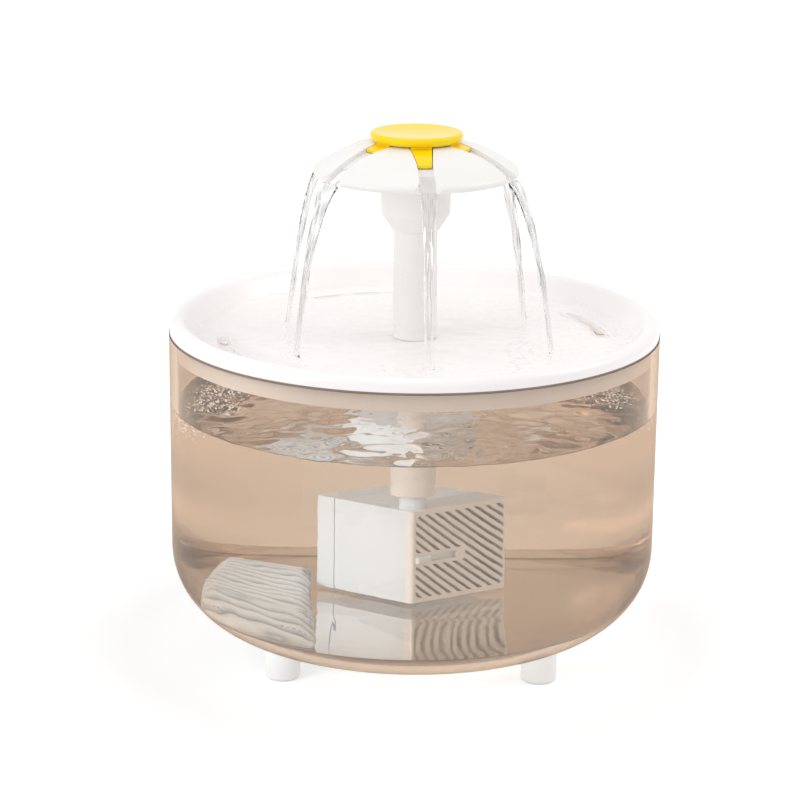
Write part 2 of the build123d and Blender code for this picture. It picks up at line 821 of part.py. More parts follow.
with BuildPart() as outlet_nozzle:
    with BuildSketch(Plane.XY.offset(pump_base + pump_height - pump_wall)):
        Circle(nozzle_root_radius - weld_gap)
    extrude(amount=pump_wall)
    with BuildSketch(Plane.XY.offset(pump_base + pump_height)):
        Circle(nozzle_radius)
    extrude(amount=nozzle_top - pump_base - pump_height)
    chamfer(outlet_nozzle.edges().group_by(Axis.Z)[-1], nozzle_lead_in)
    with BuildSketch(Plane.XY.offset(nozzle_groove_level)):
        Circle(nozzle_radius)
        Circle(nozzle_groove_radius, mode=Mode.SUBTRACT)
    extrude(amount=groove_height, mode=Mode.SUBTRACT)
    with BuildSketch(Plane.XY.offset(pump_base + pump_height - pump_wall)):
        Circle(nozzle_bore)
    extrude(amount=nozzle_top - pump_base - pump_height + pump_wall, mode=Mode.SUBTRACT)
save(outlet_nozzle, "outlet_nozzle")

nozzle_o_ring = ring_seal(nozzle_groove_radius + ring_section, nozzle_groove_level + groove_height / 2)
save(nozzle_o_ring, "nozzle_o_ring")

# Pads: four thin rubber discs under the pump

with BuildPart() as pump_pads:
    with BuildSketch(Plane.XY.offset(-pump_pad)):
        with GridLocations(pump_pad_spacing, pump_pad_spacing, 2, 2):
            Circle(pump_pad_radius)
    extrude(amount=pump_pad)
save(pump_pads, "pump_pads", pump_place)

# Filter pad: a soft pleated wedge lying on the raised floor beside the pump,
# with its wide front edge bowed to follow the tank's wall

with BuildPart() as filter_pad:
    with BuildSketch(Plane.XY.offset(floor_top)) as pad_outline:
        with BuildLine():
            Polyline(pad_front_right, pad_back_right, pad_back_left, pad_front_left)
            SagittaArc(pad_front_left, pad_front_right, -pad_front_bow)
        make_face()
        fillet(pad_outline.vertices(), pad_corner_round)
    extrude(amount=pad_height)
    fillet(filter_pad.edges().group_by(Axis.Z)[-1], pad_edge_round)
save(filter_pad, "filter_pad")
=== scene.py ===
import math

import bmesh
import bpy
import numpy as np
from mathutils import Matrix, Vector


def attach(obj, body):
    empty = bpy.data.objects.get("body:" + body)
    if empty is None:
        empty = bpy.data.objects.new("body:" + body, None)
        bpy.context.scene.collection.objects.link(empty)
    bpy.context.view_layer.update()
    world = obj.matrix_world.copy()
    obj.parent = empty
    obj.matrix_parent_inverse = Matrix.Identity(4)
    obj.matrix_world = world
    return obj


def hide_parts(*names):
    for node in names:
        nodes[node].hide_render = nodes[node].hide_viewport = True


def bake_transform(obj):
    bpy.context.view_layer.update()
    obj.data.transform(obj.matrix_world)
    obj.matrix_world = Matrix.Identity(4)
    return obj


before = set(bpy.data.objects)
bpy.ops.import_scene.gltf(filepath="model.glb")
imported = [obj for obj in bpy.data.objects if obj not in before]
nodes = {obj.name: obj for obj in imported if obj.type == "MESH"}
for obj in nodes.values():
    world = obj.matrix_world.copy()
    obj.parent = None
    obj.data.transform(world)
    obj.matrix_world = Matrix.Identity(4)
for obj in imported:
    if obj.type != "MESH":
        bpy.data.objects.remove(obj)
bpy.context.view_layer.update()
scene = bpy.context.scene

# ---------------------------------------------------------------- Studio
# A pale floor with a painted glow, an even white surround, soft lamps at the left, above and at the right,
# and a narrow cool lamp that lights the pump and the pad through the tank's tint.
# The camera stands a metre away and looks down at the fountain by 17 degrees.

def add_node(tree, kind, values=None, **settings):
    """Adds a node to the tree. A value is a number, a colour, or the output of another node."""
    node = tree.nodes.new(kind)
    for key, value in settings.items():
        setattr(node, key, value)
    for key, value in (values or {}).items():
        if isinstance(value, bpy.types.NodeSocket):
            tree.links.new(value, node.inputs[key])
        else:
            node.inputs[key].default_value = value
    return node


def new_material(name):
    """A material with an empty tree and its output node."""
    material = bpy.data.materials.new(name)
    material.use_nodes = True
    material.node_tree.nodes.clear()
    return material, material.node_tree, material.node_tree.nodes.new("ShaderNodeOutputMaterial")


def seen_directly(tree):
    """1 for the rays of the camera, of mirrors and of glass, and 0 for rays that only carry light."""
    path = add_node(tree, "ShaderNodeLightPath")
    seen = add_node(tree, "ShaderNodeMath",
                    {0: path.outputs["Is Camera Ray"], 1: path.outputs["Is Glossy Ray"]}, operation="ADD")
    return add_node(tree, "ShaderNodeMath", {0: seen.outputs[0], 1: path.outputs["Is Transmission Ray"]},
                    operation="ADD", use_clamp=True).outputs[0]


surround_light = 0.78
surround_seen = 1.0
surround = bpy.data.worlds.new("surround")
surround.use_nodes = True
surround_tree = surround.node_tree
surround_strength = add_node(surround_tree, "ShaderNodeMapRange",
                             {"Value": seen_directly(surround_tree), "To Min": surround_light,
                              "To Max": surround_seen})
surround_tree.links.new(surround_strength.outputs["Result"],
                        surround_tree.nodes["Background"].inputs["Strength"])
surround_tree.nodes["Background"].inputs["Color"].default_value = (1, 1, 1, 1)
scene.world = surround

floor_size = 8.0
paper_low, paper_high = 0.9, 0.92

# Painted light: the paper glows for the camera by these amounts at some distances in metres from the
# middle.
# It glows most under the tank, lightening the tank's shadow seen through the plastic, least just outside
# it, so that a soft shadow stays at the feet, and more again further out, so that the paper is white.
floor_painted_glow = ((0.0, 0.34), (0.07, 0.28), (0.11, 0.12), (0.25, 0.36))
floor_mesh = bpy.data.meshes.new("studio_floor")
reach = floor_size / 2
floor_mesh.from_pydata([(-reach, -reach, 0), (reach, -reach, 0), (reach, reach, 0), (-reach, reach, 0)],
                       [], [(0, 1, 2, 3)])
studio_floor = bpy.data.objects.new("studio_floor", floor_mesh)
scene.collection.objects.link(studio_floor)
floor_paper, tree, out = new_material("pale floor paper")
paper_fibre = add_node(tree, "ShaderNodeTexNoise",
                       {"Vector": add_node(tree, "ShaderNodeTexCoord").outputs["Object"], "Scale": 300.0,
                        "Detail": 3.0})
paper_colour = add_node(tree, "ShaderNodeMapRange",
                        {"Value": paper_fibre.outputs["Fac"], "To Min": paper_low,
                         "To Max": paper_high})
floor_space = add_node(tree, "ShaderNodeTexCoord").outputs["Object"]
from_middle = add_node(tree, "ShaderNodeVectorMath", {0: floor_space}, operation="LENGTH").outputs["Value"]
painted_glow = None
for (near, near_lift), (far, far_lift) in zip(floor_painted_glow[:-1], floor_painted_glow[1:]):
    stretch = add_node(tree, "ShaderNodeMapRange",
                       {"Value": from_middle, "From Min": near, "From Max": far, "To Min": 0.0,
                        "To Max": far_lift - near_lift}).outputs["Result"]
    painted_glow = add_node(tree, "ShaderNodeMath",
                         {0: stretch, 1: near_lift if painted_glow is None else painted_glow}).outputs[0]
paper_painted_glow = add_node(tree, "ShaderNodeMath", {0: seen_directly(tree), 1: painted_glow}, operation="MULTIPLY")
paper_shader = add_node(tree, "ShaderNodeBsdfPrincipled",
                        {"Base Color": paper_colour.outputs["Result"], "Roughness": 0.8,
                         "Emission Color": (1, 1, 1, 1), "Emission Strength": paper_painted_glow.outputs[0]})
tree.links.new(paper_shader.outputs[0], out.inputs["Surface"])
floor_mesh.materials.append(floor_paper)


lamp_aim = Vector((0, 0, 0.09))
pump_aim = Vector((-0.022, 0, 0.045))
tank_lamp_width = 4.4


def soft_lamp(name, place, size, power, colour):
    """A square lamp aimed at the middle of the fountain."""
    lamp = bpy.data.lights.new(name, "AREA")
    lamp.size, lamp.energy, lamp.color = size, power, colour
    holder = bpy.data.objects.new(name, lamp)
    holder.location = place
    holder.rotation_euler = (lamp_aim - Vector(place)).to_track_quat("-Z", "Y").to_euler()
    scene.collection.objects.link(holder)


soft_lamp("key_lamp", (-0.95, -0.62, 0.62), 0.7, 3.2, (1.0, 0.99, 0.98))
soft_lamp("top_lamp", (-0.15, -0.1, 1.15), 0.7, 1.3, (1.0, 0.98, 0.97))
soft_lamp("fill_lamp", (0.9, 0.1, 0.9), 0.6, 2.4, (1.0, 0.96, 0.92))
tank_lamp = bpy.data.lights.new("tank_lamp", "SPOT")
tank_lamp.energy, tank_lamp.color, tank_lamp.shadow_soft_size = 52.0, (0.78, 0.88, 1.0), 0.03
tank_lamp.spot_size, tank_lamp.spot_blend = math.radians(tank_lamp_width), 0.4
tank_lamp_holder = bpy.data.objects.new("tank_lamp", tank_lamp)
tank_lamp_holder.location = (-0.80, -0.86, 0.50)
tank_lamp_way = pump_aim - tank_lamp_holder.location
tank_lamp_holder.rotation_euler = tank_lamp_way.to_track_quat("-Z", "Y").to_euler()
scene.collection.objects.link(tank_lamp_holder)

view_height = math.radians(17.17)
view_distance = 1.04848
view_roll = math.radians(0.67)
focal_pixels = 2733.64
frame_pixels = 800
shift_pixels = (-12.9, 63.4)
camera_data = bpy.data.cameras.new("view_camera")
camera = bpy.data.objects.new("view_camera", camera_data)
scene.collection.objects.link(camera)
aim = Vector((0, 0, 0.072))
forward = Vector((0, math.cos(view_height), -math.sin(view_height)))
camera.location = aim - view_distance * forward
facing = forward.to_track_quat("-Z", "Y").to_matrix() @ Matrix.Rotation(view_roll, 3, "Z")
camera.rotation_euler = facing.to_euler()
camera_data.sensor_width = 36
camera_data.lens = focal_pixels / frame_pixels * camera_data.sensor_width
camera_data.shift_x = shift_pixels[0] / frame_pixels
camera_data.shift_y = shift_pixels[1] / frame_pixels
scene.camera = camera
scene.view_settings.view_transform = "Standard"

# Light crosses the plastic, the water and the plastic again, so rays are followed a long way.
scene.cycles.max_bounces = 24
scene.cycles.transmission_bounces = 24
scene.cycles.transparent_max_bounces = 24
scene.cycles.caustics_refractive = False
scene.cycles.caustics_reflective = False

# ---------------------------------------------------------------- Tank
# A clear round tank, injection moulded in one piece in a warm smoke tint, 3 mm thick with a wide rounded
# corner. It has the faint waviness of moulded plastic and small changes of tint, and its tint is painted
# darker towards the bottom as shade.

mm = 0.001
bottom_shade_from, bottom_shade_to = 24.0, 19.0
plastic_ior = 1.49
skin_ior = 1.006


def noise_of(tree, scale, detail=2.0, roughness=0.5):
    """The value of a noise pattern of that many cells a metre, in the piece's own space."""
    space = add_node(tree, "ShaderNodeTexCoord")
    return add_node(tree, "ShaderNodeTexNoise",
                    {"Vector": space.outputs["Object"], "Scale": scale, "Detail": detail,
                     "Roughness": roughness}).outputs["Fac"]


def between(tree, value, low, high):
    """Spreads a value from 0 to 1 over low to high."""
    return add_node(tree, "ShaderNodeMapRange",
                    {"Value": value, "To Min": low, "To Max": high}).outputs["Result"]


def blended_colour(tree, factor, first, second):
    """Goes from the first colour to the second as the factor goes from 0 to 1."""
    mix = tree.nodes.new("ShaderNodeMix")
    mix.data_type = "RGBA"
    for socket, value in ((mix.inputs[0], factor), (mix.inputs[6], first), (mix.inputs[7], second)):
        if isinstance(value, bpy.types.NodeSocket):
            tree.links.new(value, socket)
        else:
            socket.default_value = value
    return mix.outputs[2]


def let_lamps_through(tree, out, shader, shade):
    """Clear stuff that light crosses without bending on its way to a surface, taking on a light tint."""
    path = add_node(tree, "ShaderNodeLightPath")
    lighting = add_node(tree, "ShaderNodeMath",
                        {0: path.outputs["Is Shadow Ray"], 1: path.outputs["Is Diffuse Ray"]},
                        operation="ADD", use_clamp=True).outputs[0]
    straight = add_node(tree, "ShaderNodeBsdfTransparent", {"Color": shade})
    mix = add_node(tree, "ShaderNodeMixShader", {0: lighting})
    tree.links.new(shader.outputs[0], mix.inputs[1])
    tree.links.new(straight.outputs[0], mix.inputs[2])
    tree.links.new(mix.outputs[0], out.inputs["Surface"])


def clear_moulding(name, thin_tint, thick_tint, bottom_shade_tint, skin_tint, shade, cloud_scale, wave_depth):
    """Clear moulded plastic: two close tints in soft clouds, a tint painted darker near the ground as
    shade, a skin that tints more edge on, and a faint wave."""
    material, tree, out = new_material(name)
    clouds = blended_colour(tree, noise_of(tree, cloud_scale), thin_tint, thick_tint)
    space = add_node(tree, "ShaderNodeTexCoord").outputs["Object"]
    level = add_node(tree, "ShaderNodeSeparateXYZ", {0: space}).outputs["Z"]
    # Painted shade: the tint darkens towards the bottom of the piece.
    low_down = add_node(tree, "ShaderNodeMapRange",
                        {"Value": level, "From Min": bottom_shade_from * mm, "From Max": bottom_shade_to * mm})
    tint = blended_colour(tree, low_down.outputs["Result"], clouds, bottom_shade_tint)
    inside = tree.nodes.new("ShaderNodeNewGeometry").outputs["Backfacing"]
    skin = blended_colour(tree, inside, skin_tint, (1, 1, 1, 1))
    waves = add_node(tree, "ShaderNodeBump",
                     {"Height": noise_of(tree, cloud_scale * 1.5, 1.0), "Strength": 1.0,
                      "Distance": wave_depth})
    shader = add_node(tree, "ShaderNodeBsdfPrincipled",
                      {"Base Color": tint, "Roughness": 0.0, "IOR": plastic_ior, "Transmission Weight": 1.0,
                       "Coat Weight": 1.0, "Coat IOR": skin_ior, "Coat Tint": skin,
                       "Normal": waves.outputs["Normal"]})
    let_lamps_through(tree, out, shader, shade)
    return material


def finish_with(material, *names):
    """Gives CAD nodes their finish."""
    for name in names:
        for slot in nodes[name].material_slots:
            slot.material = material


tank_plastic = clear_moulding(
    "smoke tinted clear plastic", thin_tint=(0.757, 0.677, 0.604, 1), thick_tint=(0.732, 0.652, 0.58, 1),
    bottom_shade_tint=(0.69, 0.588, 0.495, 1), skin_tint=(0.955, 0.915, 0.875, 1), shade=(0.985, 0.98, 0.975, 1),
    cloud_scale=22.0, wave_depth=0.00001)
finish_with(tank_plastic, "tank")

# ---------------------------------------------------------------- Raised floor
# A thick clear disc set into the rounded corner, welded all round with 5 mm of air under it.
# The air makes its underside a mirror for whatever stands on it.

floor_plastic = clear_moulding(
    "clear floor plastic", thin_tint=(0.995, 0.985, 0.975, 1), thick_tint=(0.985, 0.97, 0.955, 1),
    bottom_shade_tint=(0.985, 0.97, 0.955, 1), skin_tint=(0.995, 0.99, 0.985, 1), shade=(0.99, 0.985, 0.98, 1),
    cloud_scale=18.0, wave_depth=0.000003)
finish_with(floor_plastic, "floor_plate")

# ---------------------------------------------------------------- Feet
# Four white pegs moulded in hard plastic, each with a plug welded through the tank's bottom.
# Their skin has the fine grain of a spark-eroded mould.

def moulding_grain():
    """The look of moulded plastic: soft clouds of shade, patches of gloss and a fine grain."""
    group = bpy.data.node_groups.new("moulding grain", "ShaderNodeTree")
    for socket, kind in (("Colour", "NodeSocketColor"), ("Shade Spread", "NodeSocketFloat"),
                         ("Cloud Scale", "NodeSocketFloat"), ("Gloss Low", "NodeSocketFloat"),
                         ("Gloss High", "NodeSocketFloat"), ("Grain Scale", "NodeSocketFloat")):
        group.interface.new_socket(socket, in_out="INPUT", socket_type=kind)
    for socket, kind in (("Colour", "NodeSocketColor"), ("Roughness", "NodeSocketFloat"),
                         ("Height", "NodeSocketFloat")):
        group.interface.new_socket(socket, in_out="OUTPUT", socket_type=kind)
    given = group.nodes.new("NodeGroupInput").outputs
    result = group.nodes.new("NodeGroupOutput").inputs
    space = add_node(group, "ShaderNodeTexCoord").outputs["Object"]
    clouds = add_node(group, "ShaderNodeTexNoise",
                      {"Vector": space, "Scale": given["Cloud Scale"], "Detail": 3.0}).outputs["Fac"]
    grain = add_node(group, "ShaderNodeTexNoise",
                     {"Vector": space, "Scale": given["Grain Scale"], "Detail": 4.0,
                      "Roughness": 0.65}).outputs["Fac"]
    low = add_node(group, "ShaderNodeMath", {0: 1.0, 1: given["Shade Spread"]},
                   operation="SUBTRACT").outputs[0]
    shade = add_node(group, "ShaderNodeMapRange",
                     {"Value": clouds, "From Min": 0.3, "From Max": 0.7, "To Min": low, "To Max": 1.0})
    coloured = add_node(group, "ShaderNodeHueSaturation",
                        {"Value": shade.outputs["Result"], "Color": given["Colour"]})
    gloss = add_node(group, "ShaderNodeMapRange",
                     {"Value": clouds, "From Min": 0.25, "From Max": 0.75, "To Min": given["Gloss Low"],
                      "To Max": given["Gloss High"]})
    group.links.new(coloured.outputs["Color"], result["Colour"])
    group.links.new(gloss.outputs["Result"], result["Roughness"])
    group.links.new(grain, result["Height"])
    return group


grain_group = moulding_grain()


def moulded(name, colour, gloss, spread=0.05, clouds=35.0, grain=1500.0, depth=0.00003, coat=0.0,
            shine=0.5):
    """An opaque moulded material that takes its grain from the shared group."""
    material, tree, out = new_material(name)
    grained = add_node(tree, "ShaderNodeGroup", node_tree=grain_group)
    for socket, value in (("Colour", (*colour, 1)), ("Shade Spread", spread), ("Cloud Scale", clouds),
                          ("Gloss Low", gloss[0]), ("Gloss High", gloss[1]), ("Grain Scale", grain)):
        grained.inputs[socket].default_value = value
    bump = add_node(tree, "ShaderNodeBump",
                    {"Height": grained.outputs["Height"], "Strength": 1.0, "Distance": depth})
    shader = add_node(tree, "ShaderNodeBsdfPrincipled",
                      {"Base Color": grained.outputs["Colour"], "Roughness": grained.outputs["Roughness"],
                       "Normal": bump.outputs["Normal"], "Specular IOR Level": shine, "Coat Weight": coat,
                       "Coat IOR": 1.33, "Coat Roughness": 0.08})
    tree.links.new(shader.outputs[0], out.inputs["Surface"])
    return material


foot_plastic = moulded("white foot plastic", (0.95, 0.935, 0.92), (0.25, 0.4))
finish_with(foot_plastic, "foot_front_left", "foot_front_right", "foot_back_left", "foot_back_right")

# ---------------------------------------------------------------- Rim seal
# A soft grey-brown ring pressed onto the tank's edge. The tray stands on it, and it shows as a thin dark
# line between the two.

seal_rubber = moulded("brown-grey seal rubber", (0.26, 0.19, 0.155), (0.5, 0.7), 0.15, 60.0, 900.0, 0.00004)
finish_with(seal_rubber, "rim_seal")

# ---------------------------------------------------------------- Tray
# The drinking tray, moulded in glossy white plastic: a shallow dish with a rolled rim and four drain slots.
# A skirt under the rim keeps it centred in the tank.

tray_plastic = moulded("glossy white tray plastic", (0.965, 0.935, 0.93), (0.16, 0.3), 0.035, 25.0, 1300.0,
                       0.00002, coat=0.3)
finish_with(tray_plastic, "tray")

# ---------------------------------------------------------------- Riser
# A white tube that carries the water up through the tray. A nut holds it from below on a soft gasket,
# and a black ring seals its upper end in the flower's collar.

riser_plastic = moulded("white tube plastic", (0.88, 0.865, 0.85), (0.2, 0.34), 0.04)
nut_plastic = moulded("white nut plastic", (0.84, 0.83, 0.81), (0.35, 0.5), 0.05)
gasket_rubber = moulded("grey gasket rubber", (0.42, 0.41, 0.40), (0.55, 0.75), 0.12, 50.0, 800.0, 0.00005)
ring_rubber = moulded("black ring rubber", (0.025, 0.025, 0.027), (0.3, 0.5), 0.3, 90.0, 900.0, 0.00003)
finish_with(riser_plastic, "riser")
finish_with(nut_plastic, "riser_nut")
finish_with(gasket_rubber, "riser_gasket")
finish_with(ring_rubber, "collar_o_ring", "nozzle_o_ring")

# ---------------------------------------------------------------- Flower
# A bell of six petals on a round collar, moulded in white and pushed onto the riser's end. Water runs down
# the channels between the petals.

petal_plastic = moulded("satin white petal plastic", (0.90, 0.885, 0.87), (0.24, 0.4), 0.04, 30.0, 1400.0,
                        0.00003)
finish_with(petal_plastic, "flower", "flower_collar")

# ---------------------------------------------------------------- Cap
# The yellow middle of the flower, a separate dished moulding in glossy plastic, plugged in from above.
# Its fingers lie in the channels, and every second one is long.

cap_plastic = moulded("yellow cap plastic", (1.0, 0.72, 0.002), (0.3, 0.4), 0.05, 40.0, 1300.0, 0.00002,
                      coat=1.0, shine=0.0)
finish_with(cap_plastic, "cap")

# ---------------------------------------------------------------- Pump case
# A small submersible pump in cool white plastic: a square housing, a rear cover over the sealed coil,
# soft pads under it, and a black gland where its lead enters.

pump_plastic = moulded("cool white pump plastic", (0.82, 0.91, 1.0), (0.22, 0.38), 0.04, 45.0, 1600.0)
pad_rubber = moulded("white pad rubber", (0.75, 0.74, 0.72), (0.6, 0.8), 0.08, 60.0, 700.0, 0.00005)
gland_rubber = moulded("black gland rubber", (0.03, 0.03, 0.032), (0.45, 0.65), 0.25, 70.0, 900.0, 0.00004)
finish_with(pump_plastic, "pump_housing", "pump_rear_cover", "outlet_nozzle", "volute_cover")
finish_with(pad_rubber, "pump_pads")
finish_with(gland_rubber, "cable_gland")

# ---------------------------------------------------------------- Grille and flow slider
# The pump's front pulls off for cleaning. It has slanted slots that strain the water, and a small slider
# in a slot of its own that opens or closes the intake.

grille_plastic = moulded("white grille plastic", (0.93, 0.92, 0.90), (0.3, 0.45), 0.05, 60.0, 1600.0)
slider_plastic = moulded("white slider plastic", (0.88, 0.92, 0.96), (0.2, 0.32), 0.04, 60.0, 1600.0,
                         0.00002)
finish_with(grille_plastic, "pump_grille")
finish_with(slider_plastic, "flow_slider")

# ---------------------------------------------------------------- Pump works
# Behind the grille a magnet rotor with a moulded impeller turns on a ceramic shaft in soft bushes.
# The coil is wound of copper wire on a stack of steel sheets, and both are sealed in behind the rear cover.

def striped(name, colour, groove, gloss, pitch, depth):
    """Wound wire or stacked sheet: fine level ridges of metal, dark in between."""
    material, tree, out = new_material(name)
    space = add_node(tree, "ShaderNodeTexCoord").outputs["Object"]
    ridges = add_node(tree, "ShaderNodeTexWave",
                      {"Vector": space, "Scale": 1 / (pitch * mm) / math.pi, "Distortion": 0.6,
                       "Detail": 1.0}, bands_direction="Z").outputs["Fac"]
    tint = blended_colour(tree, ridges, (*groove, 1), (*colour, 1))
    bump = add_node(tree, "ShaderNodeBump", {"Height": ridges, "Strength": 1.0, "Distance": depth})
    shader = add_node(tree, "ShaderNodeBsdfPrincipled",
                      {"Base Color": tint, "Roughness": between(tree, ridges, gloss[1], gloss[0]),
                       "Metallic": 1.0, "Normal": bump.outputs["Normal"]})
    tree.links.new(shader.outputs[0], out.inputs["Surface"])
    return material


impeller_plastic = moulded("blue impeller plastic", (0.12, 0.25, 0.55), (0.3, 0.45), 0.06)
magnet_ferrite = moulded("dark magnet ferrite", (0.045, 0.043, 0.042), (0.5, 0.7), 0.3, 200.0, 2200.0,
                         0.00006)
shaft_ceramic = moulded("white shaft ceramic", (0.86, 0.85, 0.80), (0.08, 0.16), 0.03, 120.0, 2500.0,
                        0.00001)
bush_rubber = moulded("grey bush rubber", (0.30, 0.30, 0.31), (0.5, 0.7), 0.15, 150.0, 1500.0, 0.00003)
core_steel = striped("stacked core steel", (0.55, 0.55, 0.56), (0.2, 0.2, 0.21), (0.3, 0.5), 0.5, 0.00008)
coil_copper = striped("wound copper wire", (0.72, 0.30, 0.12), (0.25, 0.08, 0.03), (0.25, 0.45), 0.35,
                      0.00015)
finish_with(impeller_plastic, "impeller")
finish_with(magnet_ferrite, "rotor_magnet")
finish_with(shaft_ceramic, "pump_shaft")
finish_with(bush_rubber, "shaft_bushes")
finish_with(core_steel, "stator_core")
finish_with(coil_copper, "stator_coil")

# ---------------------------------------------------------------- Filter pad
# A pleated pad of silver-grey filter cloth that lies loose on the raised floor, filled with soft fibre.
# It is crowned, pulls in at its edges, and has pleats across it and a stitched border.

pad_front_left, pad_front_right = np.array((-73.0, -24.0)), np.array((-31.5, -69.5))
pad_back_left, pad_back_right = np.array((-44.5, 42.5)), np.array((-25.0, 37.0))
pad_front_bow = 6.0
pad_bow_way = np.array((-0.754, -0.657))
pad_height = 5.2
pad_rest = 25.25
pad_ceiling = 32.0
pad_inset = 0.9
pad_cuts = 9
pad_corner_cut, pad_edge_thinning, pad_edge_power = 0.04, 0.6, 8
pad_voxel = 1.25
pad_swell = 0.7
filling_pressure, filling_mass, filling_steps = 3.0, 0.3, 20
pleat_count, pleat_depth, pleat_power, pleat_middle = 15, 1.3, 0.6, 0.8
border_across_share, border_along_share, border_tone = 1 / 20, 1 / 30, 0.75


def add_piece(name, mesh, material):
    """A new object at the origin with one material."""
    piece = bpy.data.objects.new(name, mesh)
    mesh.materials.clear()
    mesh.materials.append(material)
    scene.collection.objects.link(piece)
    return piece


def pad_bow(across, along):
    """How far the bowed front edge carries the plan outwards there."""
    return (pad_front_bow * 4 * across * (1 - across) * (1 - along))[:, None] * pad_bow_way


def on_pad(across, along):
    """The place on the pad's outline plan, each of across and along going from 0 to 1."""
    across, along = across[:, None], along[:, None]
    front = pad_front_left * (1 - across) + pad_front_right * across
    back = pad_back_left * (1 - across) + pad_back_right * across
    return front * (1 - along) + back * along + pad_bow(across[:, 0], along[:, 0])


def pad_block():
    """The pad before it is filled: a block on the floor with rounded corners and edges that pull in."""
    form = bmesh.new()
    bmesh.ops.create_cube(form, size=1.0)
    bmesh.ops.subdivide_edges(form, edges=form.edges, cuts=pad_cuts, use_grid_fill=True)
    middle = (pad_front_left + pad_front_right + pad_back_left + pad_back_right) / 4
    for vert in form.verts:
        across, along = vert.co.x * 2, vert.co.y * 2
        rounding = 1 - pad_corner_cut * (abs(across) * abs(along)) ** pad_edge_power
        x, y = on_pad(np.array([(across * rounding + 1) / 2]), np.array([(along * rounding + 1) / 2]))[0]
        inward = middle - (x, y)
        inward *= pad_inset / np.linalg.norm(inward) if abs(across) > 0.99 or abs(along) > 0.99 else 0
        thin_edge = 1 - pad_edge_thinning * max(abs(across), abs(along)) ** pad_edge_power
        vert.co = ((x + inward[0]) * mm, (y + inward[1]) * mm,
                   (pad_rest + pad_height * (0.5 + vert.co.z) * thin_edge) * mm)
    mesh = bpy.data.meshes.new("filter_pad_cloth")
    form.to_mesh(mesh)
    form.free()
    return mesh


def silver_cloth():
    """Non-woven filter cloth: a fine fibre grain, with painted shade in the folds against light silver on
    the ribs.
    """
    material, tree, out = new_material("silver filter cloth")
    space = add_node(tree, "ShaderNodeTexCoord").outputs["Object"]
    fibre = add_node(tree, "ShaderNodeTexNoise",
                     {"Vector": space, "Scale": 900.0, "Detail": 3.0}).outputs["Fac"]
    fold = add_node(tree, "ShaderNodeAttribute", attribute_name="pleat_shade").outputs["Fac"]
    folded = add_node(tree, "ShaderNodeMapRange",
                      {"Value": fold, "From Min": 0.25, "From Max": 0.95}).outputs["Result"]
    shade = blended_colour(tree, folded, (0.27, 0.33, 0.39, 1), (0.88, 0.95, 1.0, 1))
    tint = blended_colour(tree, between(tree, fibre, 0.0, 0.25), shade, (0.66, 0.74, 0.82, 1))
    bump = add_node(tree, "ShaderNodeBump", {"Height": fibre, "Strength": 1.0, "Distance": 0.0002})
    shader = add_node(tree, "ShaderNodeBsdfPrincipled",
                      {"Base Color": tint, "Roughness": between(tree, fibre, 0.45, 0.75),
                       "Sheen Weight": 0.3, "Normal": bump.outputs["Normal"]})
    tree.links.new(shader.outputs[0], out.inputs["Surface"])
    return material


pad_cloth = silver_cloth()
filter_pad = add_piece("filter_pad_cloth", pad_block(), pad_cloth)
shell = filter_pad.modifiers.new("even grid", "REMESH")
shell.mode, shell.voxel_size, shell.use_smooth_shade = "VOXEL", pad_voxel * mm, True
bpy.context.view_layer.update()
even = bpy.data.meshes.new_from_object(filter_pad.evaluated_get(bpy.context.evaluated_depsgraph_get()))
filter_pad.modifiers.remove(shell)
filter_pad.data = even
before = np.array([v.co for v in even.vertices])
after = before.copy()
filling = filter_pad.modifiers.new("filling", "CLOTH")
filling.settings.use_pressure = True
filling.settings.uniform_pressure_force = filling_pressure
filling.settings.effector_weights.gravity = 0
filling.settings.mass = filling_mass
for step in range(1, filling_steps + 1):
    scene.frame_set(step)
filled = filter_pad.evaluated_get(bpy.context.evaluated_depsgraph_get()).to_mesh()
after = np.array([v.co for v in filled.vertices])
filter_pad.modifiers.remove(filling)
scene.frame_set(1)
moved = after - before
length = np.linalg.norm(moved, axis=1, keepdims=True)
after = before + moved * np.minimum(1.0, pad_swell * mm / np.maximum(length, 1e-9))
for vert, place in zip(even.vertices, after):
    vert.co = place
finer = filter_pad.modifiers.new("finer", "SUBSURF")
finer.levels = finer.render_levels = 1
bpy.context.view_layer.update()
fine = bpy.data.meshes.new_from_object(filter_pad.evaluated_get(bpy.context.evaluated_depsgraph_get()))
filter_pad.modifiers.remove(finer)
filter_pad.data = fine

# Where each point lies between the sides and between the ends, in ten steps because of the bowed front.
spots = np.array([v.co for v in fine.vertices]) / mm
across = along = np.full(len(spots), 0.5)
for step in range(10):
    flat_spot = spots[:, :2] - pad_bow(across, along)
    left_spot = pad_front_left + along[:, None] * (pad_back_left - pad_front_left)
    cross_way = pad_front_right + along[:, None] * (pad_back_right - pad_front_right) - left_spot
    across = np.sum((flat_spot - left_spot) * cross_way, axis=1) / np.sum(cross_way ** 2, axis=1)
    front_spot = pad_front_left + across[:, None] * (pad_front_right - pad_front_left)
    long_way = pad_back_left + across[:, None] * (pad_back_right - pad_back_left) - front_spot
    along = np.sum((flat_spot - front_spot) * long_way, axis=1) / np.sum(long_way ** 2, axis=1)
inside = np.clip(np.minimum(across, 1 - across) / border_across_share, 0, 1)
inside = inside * np.clip(np.minimum(along, 1 - along) / border_along_share, 0, 1)
wander = 0.22 * np.sin(across * 6 + 3 * np.sin(along * 8)) + 0.09 * np.sin(across * 23 + along * 31)
pleats = np.abs(np.sin(math.pi * (along * pleat_count + wander))) ** pleat_power
upper = spots[:, 2] > pad_rest + pad_height * 0.45
pleat_rise = np.where(upper, pleats - pleat_middle, 0.6 * (1 - pleats))
spots[:, 2] += pleat_depth * pleat_rise * inside
